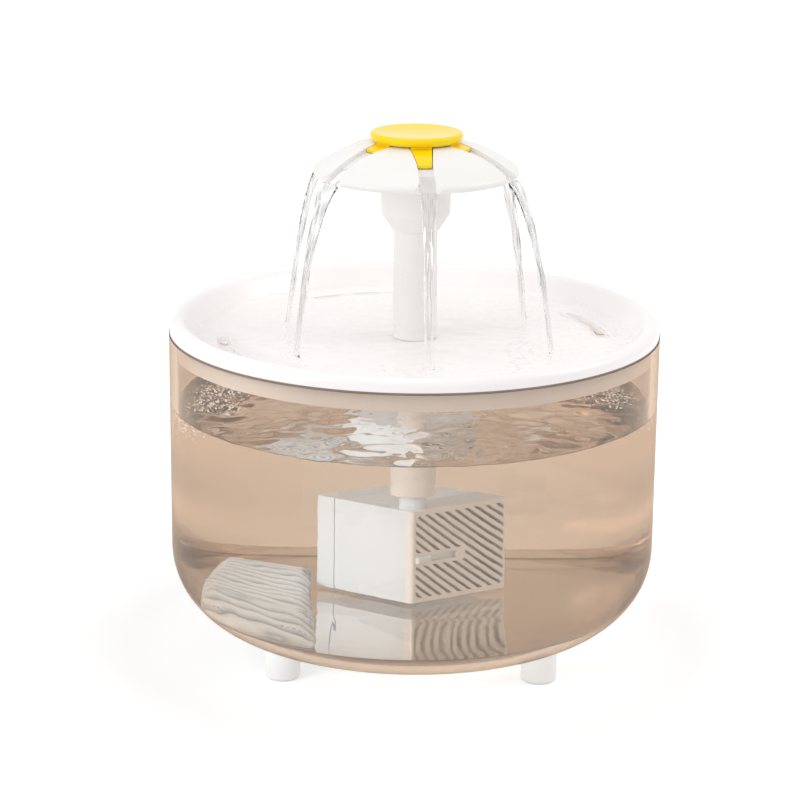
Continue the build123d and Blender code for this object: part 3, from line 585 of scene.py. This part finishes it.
spots[:, 2] = np.clip(spots[:, 2], pad_rest, pad_ceiling)
for vert, place in zip(fine.vertices, spots * mm):
    vert.co = place
# Painted shade: the folds are dark and the ribs light, and the flat border gets a level in between.
pleat_shade_values = fine.attributes.new("pleat_shade", "FLOAT", "POINT")
pleat_shade_values.data.foreach_set("value", pleats * inside + border_tone * (1 - inside))
fine.polygons.foreach_set("use_smooth", [True] * len(fine.polygons))
fine.update()
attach(filter_pad, "pad_body")
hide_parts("filter_pad")

# ---------------------------------------------------------------- Pad stitches
# Short stitches of grey thread in one row around the pad, a few millimetres in from its edge.
# They hold the cloth down around its filling, and move with the pad.

stitch_inset, stitch_pitch = 0.05, 2.4
stitch_length, stitch_radius = 0.75, 0.22
row_depth, row_front = 0.94, 0.03
side_stops = 40


def new_tree(name, sockets):
    """A geometry tree with a mesh going in and out and named inputs for its sizes."""
    group = bpy.data.node_groups.new(name, "GeometryNodeTree")
    group.interface.new_socket("Geometry", in_out="INPUT", socket_type="NodeSocketGeometry")
    for socket, kind in sockets:
        group.interface.new_socket(socket, in_out="INPUT", socket_type=kind)
    group.interface.new_socket("Geometry", in_out="OUTPUT", socket_type="NodeSocketGeometry")
    return group, group.nodes.new("NodeGroupInput").outputs, group.nodes.new("NodeGroupOutput").inputs


def finish_tree(group, instances, result, material):
    """The instances become one smooth mesh with its material."""
    real = add_node(group, "GeometryNodeRealizeInstances", {"Geometry": instances}).outputs["Geometry"]
    smooth = add_node(group, "GeometryNodeSetShadeSmooth", {"Geometry": real}).outputs["Geometry"]
    painted = add_node(group, "GeometryNodeSetMaterial", {"Geometry": smooth, "Material": material})
    group.links.new(painted.outputs["Geometry"], result["Geometry"])


def grown_piece(name, base, group, sizes, material):
    """Runs a geometry tree on a base mesh, and keeps what comes out as a plain mesh."""
    piece = add_piece(name, base, material)
    grower = piece.modifiers.new(name, "NODES")
    grower.node_group = group
    for item in group.interface.items_tree:
        if item.in_out == "INPUT" and item.name in sizes:
            grower[item.identifier] = sizes[item.name]
    bpy.context.view_layer.update()
    grown = bpy.data.meshes.new_from_object(piece.evaluated_get(bpy.context.evaluated_depsgraph_get()))
    piece.modifiers.remove(grower)
    piece.data = grown
    return piece


def stitch_tree(material):
    """A short rounded stitch at even steps along a line."""
    group, given, result = new_tree("stitch row", (("Pitch", "NodeSocketFloat"),
                                                   ("Half Length", "NodeSocketFloat"),
                                                   ("Radius", "NodeSocketFloat")))
    line = add_node(group, "GeometryNodeMeshToCurve", {"Mesh": given["Geometry"]}).outputs["Curve"]
    spots = add_node(group, "GeometryNodeCurveToPoints", {"Curve": line, "Length": given["Pitch"]},
                     mode="LENGTH")
    shape = add_node(group, "ShaderNodeCombineXYZ", {"X": given["Radius"], "Y": given["Radius"],
                                                     "Z": given["Half Length"]}).outputs["Vector"]
    ball = add_node(group, "GeometryNodeMeshIcoSphere", {"Radius": 1.0, "Subdivisions": 2}).outputs["Mesh"]
    row = add_node(group, "GeometryNodeInstanceOnPoints",
                   {"Points": spots.outputs["Points"], "Instance": ball,
                    "Rotation": spots.outputs["Rotation"], "Scale": shape}).outputs["Instances"]
    finish_tree(group, row, result, material)
    return group


border = np.linspace(stitch_inset, 1 - stitch_inset, side_stops)
low, high = np.full(side_stops, stitch_inset), np.full(side_stops, 1 - stitch_inset)
border_across = np.concatenate((border, high, border[::-1], low))
border_along = np.concatenate((low, border, high, border[::-1])) * row_depth + row_front
border_spots = on_pad(border_across, border_along)
top_spots = spots[upper]
border_levels = [top_spots[np.argmin(np.hypot(*(top_spots[:, :2] - spot).T)), 2] for spot in border_spots]
border_mesh = bpy.data.meshes.new("stitch_line")
border_mesh.from_pydata([(x * mm, y * mm, z * mm) for (x, y), z in zip(border_spots, border_levels)],
                        [(i, (i + 1) % len(border_levels)) for i in range(len(border_levels))], [])
thread = moulded("grey stitching thread", (0.45, 0.47, 0.50), (0.5, 0.7), 0.1, 200.0, 3000.0, 0.00003)
stitches = grown_piece("pad_stitches", border_mesh, stitch_tree(thread),
                       {"Pitch": stitch_pitch * mm, "Half Length": stitch_length * mm,
                        "Radius": stitch_radius * mm}, thread)
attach(stitches, "pad_body")

# ---------------------------------------------------------------- Water in the tank
# The supply: it fills the tank to a little under the tray and runs 0.3 mm into the plastic, so that light
# passes straight from one to the other. The tray drains into it, so its top is full of crossing ripples.

water_level = 98.0
water_overlap = 0.3
tank_inner, tank_corner_middle, tank_corner_level, tank_corner_inner = 89.5, 62.5, 42.0, 27.0
plate_top = 25.2
drain_circle, drain_first = 72.0, 18.0
swell_seed, swell_count, swell_height = 11, 18, 0.15
water_ior = 1.333


def water_material(name, tint, edge_shade_tint, shade, painted_streaks=False):
    """Clear water. Edge on its colour is painted darker, as shade for the darker surroundings seen in it,
    and where it has streaks they are painted dark lines of the same kind.
    """
    material, tree, out = new_material(name)
    edge = add_node(tree, "ShaderNodeLayerWeight", {"Blend": 0.35}).outputs["Facing"]
    steep = add_node(tree, "ShaderNodeMath", {0: edge, 1: 2.5}, operation="POWER").outputs[0]
    tone = blended_colour(tree, noise_of(tree, 120.0), tint, (*(0.985 * c for c in tint[:3]), 1))
    # Painted shade: edge on, the colour darkens towards the edge tint.
    colour = blended_colour(tree, steep, tone, edge_shade_tint)
    if painted_streaks:
        # Painted shade: dark lines along the strands, for dark surroundings seen through them.
        streak_shade = add_node(tree, "ShaderNodeAttribute", attribute_name="streak_shade").outputs["Fac"]
        colour = blended_colour(tree, streak_shade, colour, (0.11, 0.10, 0.095, 1))
    tremble = add_node(tree, "ShaderNodeBump",
                       {"Height": noise_of(tree, 200.0, 2.0), "Strength": 1.0, "Distance": 0.00002})
    shader = add_node(tree, "ShaderNodeBsdfPrincipled",
                      {"Base Color": colour, "Roughness": 0.0, "IOR": water_ior, "Transmission Weight": 1.0,
                       "Normal": tremble.outputs["Normal"]})
    let_lamps_through(tree, out, shader, shade)
    return material


def crossing_swell(x, y, seed, longest, shortest, height):
    """Small waves in millimetres, three in four of them running more or less from front to back."""
    dice = np.random.default_rng(seed)
    total = np.zeros_like(x)
    for i in range(swell_count):
        way = dice.uniform(0, 2 * math.pi) if i % 4 == 0 else math.pi / 2 + dice.normal(0, 0.45)
        wave = shortest + (longest - shortest) * (i / (swell_count - 1))
        total += height * (wave / longest) * np.sin(
            2 * math.pi * (x * math.cos(way) + y * math.sin(way)) / wave + dice.uniform(0, 2 * math.pi))
    return total


def rings_from(x, y, sources, wave, height, reach):
    """Round ripples that spread from where water falls in."""
    total = np.zeros_like(x)
    for sx, sy in sources:
        away = np.hypot(x - sx, y - sy)
        total += height * np.exp(-away / reach) * np.cos(2 * math.pi * away / wave)
    return total


def smooth_by_angle(mesh, degrees):
    """Smooth shading that stops at edges sharper than this."""
    form = bmesh.new()
    form.from_mesh(mesh)
    for edge in form.edges:
        edge.smooth = edge.calc_face_angle(0) < math.radians(degrees)
    for face in form.faces:
        face.smooth = True
    form.to_mesh(mesh)
    form.free()


def round_body(name, side, top_radii, top_height, steps):
    """A closed round body: a side profile from the axis outwards and up, and a top made of rings."""
    around = np.linspace(0, 2 * math.pi, steps, endpoint=False)
    places, rings = [], []
    for r, z in side:
        if r < 1e-9:
            rings.append([len(places)])
            places.append((0, 0, z))
        else:
            rings.append(list(range(len(places), len(places) + steps)))
            places.extend((r * math.cos(a), r * math.sin(a), z) for a in around)
    for r in top_radii:
        x, y = r * np.cos(around), r * np.sin(around)
        z = top_height(x, y)
        if r < 1e-9:
            rings.append([len(places)])
            places.append((0, 0, float(z[0])))
        else:
            rings.append(list(range(len(places), len(places) + steps)))
            places.extend(zip(x, y, z))
    faces = []
    for low, high in zip(rings[:-1], rings[1:]):
        for i in range(steps):
            j = (i + 1) % steps
            if len(low) == 1:
                faces.append((low[0], high[i], high[j]))
            elif len(high) == 1:
                faces.append((low[i], low[j], high[0]))
            else:
                faces.append((low[i], low[j], high[j], high[i]))
    mesh = bpy.data.meshes.new(name)
    mesh.from_pydata([tuple(c * mm for c in p) for p in places], [], faces)
    form = bmesh.new()
    form.from_mesh(mesh)
    bmesh.ops.recalc_face_normals(form, faces=form.faces)
    form.to_mesh(mesh)
    form.free()
    smooth_by_angle(mesh, 40)
    return mesh


tank_falls = [(drain_circle * math.cos(math.radians(drain_first + 90 * k)),
               drain_circle * math.sin(math.radians(drain_first + 90 * k))) for k in range(4)]


def tank_surface(x, y):
    """The water's level: it climbs the wall a little, and its waves die down towards the wall."""
    away = np.hypot(x, y)
    rise = 0.6 * np.exp(-(tank_inner - away) / 1.2)
    calm = 1 - 0.75 * np.exp(-(tank_inner - away) / 7.0)
    return (water_level + rise + calm * crossing_swell(x, y, swell_seed, 15.0, 4.0, swell_height)
            + calm * rings_from(x, y, tank_falls, 7.5, 0.5, 20.0))


corner = tank_corner_inner + water_overlap
start = math.asin((plate_top - water_overlap - tank_corner_level) / corner)
tank_side = [(0, plate_top - water_overlap)]
tank_side += [(tank_corner_middle + corner * math.cos(a), tank_corner_level + corner * math.sin(a))
              for a in np.linspace(start, 0, 18)]
tank_side += [(tank_inner + water_overlap, z) for z in (60.0, 80.0, 94.0)]
tank_radii = [tank_inner + water_overlap, 89.5, 89.0, 88.3, 87.4, 86.2, *np.linspace(85, 1.2, 66), 0]
# Edge on, the tank's water is painted a little darker as shade.
clear_water = water_material("clear tank water", (0.992, 0.99, 0.985, 1), (0.93, 0.92, 0.90, 1),
                             (0.985, 0.985, 0.98, 1))
tank_water = add_piece("tank_water", round_body("tank_water", tank_side, tank_radii, tank_surface, 320),
                       clear_water)
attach(tank_water, "tank_body")

# ---------------------------------------------------------------- Water in the tray
# A thin sheet of water lies in the dish. Six streams fall into it, and it dips into the four drain slots.
# It goes with the tray when the tray is lifted.

tray_level = 123.0
tray_water_edge = 82.1
tray_water_under = 118.9
dip_turn, dip_reach, dip_depth = 19.0, 4.2, 2.6
channel_turn = -83.5
stream_start = 38.2
stream_landings = {0: 50.0, 1: 55.5, 2: 52.5, 3: 51.0, 4: 53.0, 5: 54.5}
landing_points = [(r * math.cos(math.radians(channel_turn + 60 * k)),
                   r * math.sin(math.radians(channel_turn + 60 * k))) for k, r in stream_landings.items()]


def tray_surface(x, y):
    """The water's level: it climbs the dish's wall a little and dips over each drain slot."""
    away, angle = np.hypot(x, y), np.degrees(np.arctan2(y, x))
    from_slot = (angle - drain_first + 45) % 90 - 45
    over_slot = np.clip((dip_turn - np.abs(from_slot)) / 5, 0, 1)
    over_slot = over_slot * np.clip((dip_reach - np.abs(away - drain_circle)) / 2.6, 0, 1)
    edge_rise = 0.5 * np.exp(-(81.6 - away) / 1.2)
    return (tray_level + edge_rise - dip_depth * over_slot * over_slot * (3 - 2 * over_slot)
            + crossing_swell(x, y, 5, 15.0, 5.0, 0.07)
            + rings_from(x, y, landing_points, 6.4, 0.34, 15.0))


tray_side = [(0, tray_water_under), (tray_water_edge - 4, tray_water_under), (tray_water_edge, 121.5)]
tray_radii = list(np.linspace(tray_water_edge, 1.0, 88)) + [0]
dish_water = water_material("clear dish water", (1.0, 0.998, 0.995, 1), (0.99, 0.985, 0.98, 1),
                            (1.0, 1.0, 1.0, 1))
tray_water = add_piece("tray_water", round_body("tray_water", tray_side, tray_radii, tray_surface, 360),
                       dish_water)
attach(tray_water, "tray_body")

# ---------------------------------------------------------------- Falling streams
# Water runs down each channel as a thin film and falls from its mouth as a wide sheet with a few wandering
# strands, which gathers on its way down.

petal_level, petal_fall, petal_flat = 197.6, 0.01172, 8.0
channel_drop = 2.0
channel_inner, channel_narrow = (13.0, 9.6), (27.5, 5.8)
film_start = {0: 28.0, 1: 21.0, 2: 28.0, 3: 21.0, 4: 28.0, 5: 21.0}
film_overlap, film_half = 0.2, 0.45
film_steps, fall_steps, fall_thickness = 10, 110, 0.12
stream_widths = {0: (6.8, 3.0), 1: (11.5, 3.6), 2: (11.0, 3.6), 3: (6.8, 3.0), 4: (11.0, 3.6),
                 5: (12.0, 3.8)}
strand_starts = (-0.95, -0.66, -0.38, -0.08, 0.24, 0.50, 0.74, 0.95)
strand_width, line_width = 0.5, 0.27
stream_across = 54
# The front stream falls before the white stem, so its painted dark lines are fainter.
front_darkness = 0.35


def petal_face(radius):
    """The level of the petals' top there."""
    return petal_level - petal_fall * (radius - petal_flat) ** 2


def stream_path(film_from, landing, width_top, width_low):
    """Radius, level, width, half thickness and share of the fall along one stream."""
    path = []
    film_rise = film_half - channel_drop - film_overlap
    for r in np.linspace(film_from, stream_start, film_steps, endpoint=False):
        width = np.interp(r, (channel_inner[0], channel_narrow[0]), (channel_inner[1], channel_narrow[1]))
        path.append((r, petal_face(r) + film_rise, width + film_overlap, film_half, 0.0))
    mouth_level = petal_face(stream_start) + film_rise
    mouth_share = (channel_narrow[1] + film_overlap) / width_top
    drop = mouth_level - tray_level + 0.6
    steep = 0.708 * (landing - stream_start)
    for t in np.linspace(0, 1, fall_steps):
        opening = min(1.0, t / 0.06)
        width = width_low + (width_top - width_low) * (1 - t) ** 1.6
        width *= mouth_share + (1 - mouth_share) * opening * opening * (3 - 2 * opening)
        width *= 1 + 0.5 * max(0.0, t - 0.95) / 0.05
        half = fall_thickness + (film_half - fall_thickness) * (1 - t) ** 4
        path.append((stream_start + (landing - stream_start) * t,
                     mouth_level - steep * t - (drop - steep) * t * t, width, half, t))
    return path


def stream_mesh(name, angle, path, seed, darkness):
    """One stream: a closed skin with wandering strands, thicker, with painted dark lines along them as
    shade for the surroundings they bend into view.
    """
    dice = np.random.default_rng(seed)
    strands = [(start, dice.uniform(0.10, 0.22), dice.uniform(1.0, 2.2), dice.uniform(0, 2 * math.pi),
                dice.uniform(0.6, 1.0)) for start in strand_starts]
    sway = dice.uniform(0, 2 * math.pi, 3)
    out_way = np.array([math.cos(angle), math.sin(angle), 0])
    side_way = np.array([-math.sin(angle), math.cos(angle), 0])
    up = np.array([0, 0, 1.0])
    places, painted_streaks = [], []
    for i, (radius, level, width, half, t) in enumerate(path):
        ahead, behind = path[min(i + 1, len(path) - 1)], path[max(i - 1, 0)]
        run, rise = ahead[0] - behind[0], ahead[1] - behind[1]
        normal = (out_way * -rise + up * run) / math.hypot(run, rise)
        shift = sum(size * math.sin(rate * t + phase)
                    for size, rate, phase in zip((0.4, 0.2, 0.1), (4, 11, 23), sway))
        lean = 0.3 * math.sin(5 * t + sway[0]) * t
        lines = []
        for start, wander, rate, phase, weight in strands:
            swing = (math.sin(2 * math.pi * rate * t + phase)
                     + 0.5 * math.sin(2 * math.pi * 3.7 * rate * t + 2 * phase))
            at = start * (1 - 0.25 * t) + wander * t * swing
            broken = 0.62 + 0.38 * math.sin(2 * math.pi * (2.3 + rate) * t + 3 * phase)
            lines.append((max(-0.95, min(0.95, at)) * width / 2, weight * broken))
        fade = min(1.0, t / 0.02) * min(1.0, max(0.0, (1.0 - t) / 0.3))
        for side in (1, -1):
            span = np.linspace(-side, side, stream_across)
            for s in span if side == 1 else span[1:-1]:
                thick, dark = half, 0.0
                for at, weight in lines:
                    off = s * width / 2 - at
                    bulge = weight * (0.10 + 0.30 * t) * min(1.0, t / 0.08)
                    thick += bulge * math.exp(-(off / strand_width) ** 2)
                    dark = max(dark, weight * math.exp(-(off / line_width) ** 2))
                thick *= math.sqrt(max(0.0, 1 - s ** 8))
                spot = (out_way * radius + up * level + side_way * (s * width / 2 + shift * t)
                        + normal * (side * thick + lean * s))
                places.append(tuple(spot * mm))
                painted_streaks.append(dark * fade * darkness)
    ring = 2 * stream_across - 2
    faces = []
    for i in range(len(path) - 1):
        for j in range(ring):
            a, b = i * ring + j, i * ring + (j + 1) % ring
            faces.append((a, b, b + ring, a + ring))
    faces.append(tuple(range(ring)))
    faces.append(tuple(reversed(range((len(path) - 1) * ring, len(path) * ring))))
    mesh = bpy.data.meshes.new(name)
    mesh.from_pydata(places, [], faces)
    mesh.attributes.new("streak_shade", "FLOAT", "POINT").data.foreach_set("value", painted_streaks)
    form = bmesh.new()
    form.from_mesh(mesh)
    bmesh.ops.recalc_face_normals(form, faces=form.faces)
    form.to_mesh(mesh)
    form.free()
    smooth_by_angle(mesh, 50)
    return mesh


# Falling water is painted much darker edge on and along its strands, as painted shade.
stream_water = water_material("falling water", (0.985, 0.985, 0.985, 1), (0.50, 0.49, 0.48, 1),
                              (0.98, 0.98, 0.98, 1), painted_streaks=True)
for k, landing in stream_landings.items():
    path = stream_path(film_start[k], landing, *stream_widths[k])
    mesh = stream_mesh(f"stream_{k + 1}", math.radians(channel_turn + 60 * k), path, 40 + k,
                       front_darkness if k == 0 else 1.0)
    stream = add_piece(f"stream_{k + 1}", mesh, stream_water)
    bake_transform(stream)

# ---------------------------------------------------------------- Bubbles and splashes
# Water that drains from the tray carries air down with it, so fine bubbles gather along the wall at the two
# sides, most of them just under the surface. Around each place where a stream lands, droplets jump up.

foam_inner, foam_outer, foam_patches = 66.0, 84.5, ((168.0, 24.0), (18.0, 20.0))
foam_depth, foam_cells = 1.2, 8
foam_sizes = {"Density": 1500000.0, "Seed": 7, "Spread": 3.3 * mm, "Rise": -11.0 * mm,
              "Smallest": 0.10 * mm, "Largest": 0.55 * mm}
splash_reach = 6.0
splash_sizes = {"Density": 110000.0, "Seed": 3, "Spread": 3.0 * mm, "Rise": 7.0 * mm,
                "Smallest": 0.15 * mm, "Largest": 0.55 * mm}


def droplet_tree(name, material, detail):
    """Small balls scattered over a base, moved sideways and up or down from it, most of them near it."""
    group, given, result = new_tree(name, (("Density", "NodeSocketFloat"), ("Seed", "NodeSocketInt"),
                                           ("Spread", "NodeSocketFloat"), ("Rise", "NodeSocketFloat"),
                                           ("Smallest", "NodeSocketFloat"), ("Largest", "NodeSocketFloat")))
    spots = add_node(group, "GeometryNodeDistributePointsOnFaces",
                     {"Mesh": given["Geometry"], "Density": given["Density"],
                      "Seed": given["Seed"]}).outputs["Points"]
    aside = add_node(group, "FunctionNodeRandomValue", {0: (-1, -1, 0), 1: (1, 1, 0), 8: 1},
                     data_type="FLOAT_VECTOR").outputs[0]
    sideways = add_node(group, "ShaderNodeVectorMath", {0: aside, "Scale": given["Spread"]},
                        operation="SCALE").outputs["Vector"]
    chance = add_node(group, "FunctionNodeRandomValue", {2: 0.0, 3: 1.0, 8: 2},
                      data_type="FLOAT").outputs[1]
    far = add_node(group, "ShaderNodeMath", {0: chance, 1: 2.5}, operation="POWER").outputs[0]
    climb = add_node(group, "ShaderNodeMath", {0: far, 1: given["Rise"]}, operation="MULTIPLY").outputs[0]
    upwards = add_node(group, "ShaderNodeCombineXYZ", {"Z": climb}).outputs["Vector"]
    shift = add_node(group, "ShaderNodeVectorMath", {0: sideways, 1: upwards}).outputs["Vector"]
    moved_spots = add_node(group, "GeometryNodeSetPosition",
                           {"Geometry": spots, "Offset": shift}).outputs["Geometry"]
    size_chance = add_node(group, "FunctionNodeRandomValue", {2: 0.0, 3: 1.0, 8: 3},
                           data_type="FLOAT").outputs[1]
    small_mostly = add_node(group, "ShaderNodeMath", {0: size_chance, 1: 2.0}, operation="POWER").outputs[0]
    size = add_node(group, "ShaderNodeMapRange", {"Value": small_mostly, "To Min": given["Smallest"],
                                                  "To Max": given["Largest"]}).outputs["Result"]
    ball = add_node(group, "GeometryNodeMeshIcoSphere",
                    {"Radius": 1.0, "Subdivisions": detail}).outputs["Mesh"]
    drops = add_node(group, "GeometryNodeInstanceOnPoints",
                     {"Points": moved_spots, "Instance": ball, "Scale": size}).outputs["Instances"]
    finish_tree(group, drops, result, material)
    return group


def foam_material():
    """White foam: air bubbles in water, pale half-clear balls with a faint glow, painted light that
    brightens them in the shade under the tray.
    """
    material, tree, out = new_material("white foam")
    shade = blended_colour(tree, noise_of(tree, 900.0), (0.86, 0.90, 0.94, 1), (1, 1, 1, 1))
    # The emission is painted light: the bubbles glow a little so that they stay pale in the shade.
    shader = add_node(tree, "ShaderNodeBsdfPrincipled",
                      {"Base Color": shade, "Roughness": between(tree, noise_of(tree, 400.0), 0.1, 0.3),
                       "Emission Color": shade, "Emission Strength": 0.3, "Alpha": 0.6})
    tree.links.new(shader.outputs[0], out.inputs["Surface"])
    return material


foam_strip = bmesh.new()
for patch_turn, half_turn in foam_patches:
    turns = np.radians(np.linspace(-half_turn, half_turn, foam_cells + 1) + patch_turn)
    level = (water_level - foam_depth) * mm
    rows = [[foam_strip.verts.new((r * math.cos(a) * mm, r * math.sin(a) * mm, level)) for a in turns]
            for r in (foam_inner, foam_outer)]
    for j in range(foam_cells):
        foam_strip.faces.new((rows[0][j], rows[1][j], rows[1][j + 1], rows[0][j + 1]))
foam_base = bpy.data.meshes.new("foam_base")
foam_strip.to_mesh(foam_base)
foam_strip.free()
foam = foam_material()
bubbles = grown_piece("tank_bubbles", foam_base, droplet_tree("scattered bubbles", foam, 1), foam_sizes,
                      foam)
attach(bubbles, "tank_body")

splash_discs = bmesh.new()
for x, y in landing_points:
    bmesh.ops.create_circle(splash_discs, cap_ends=True, segments=12, radius=splash_reach * mm,
                            matrix=Matrix.Translation((x * mm, y * mm, (tray_level + 0.6) * mm)))
splash_base = bpy.data.meshes.new("splash_base")
splash_discs.to_mesh(splash_base)
splash_discs.free()
splashes = grown_piece("tray_splashes", splash_base, droplet_tree("scattered drops", dish_water, 2),
                       splash_sizes, dish_water)
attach(splashes, "tray_body")
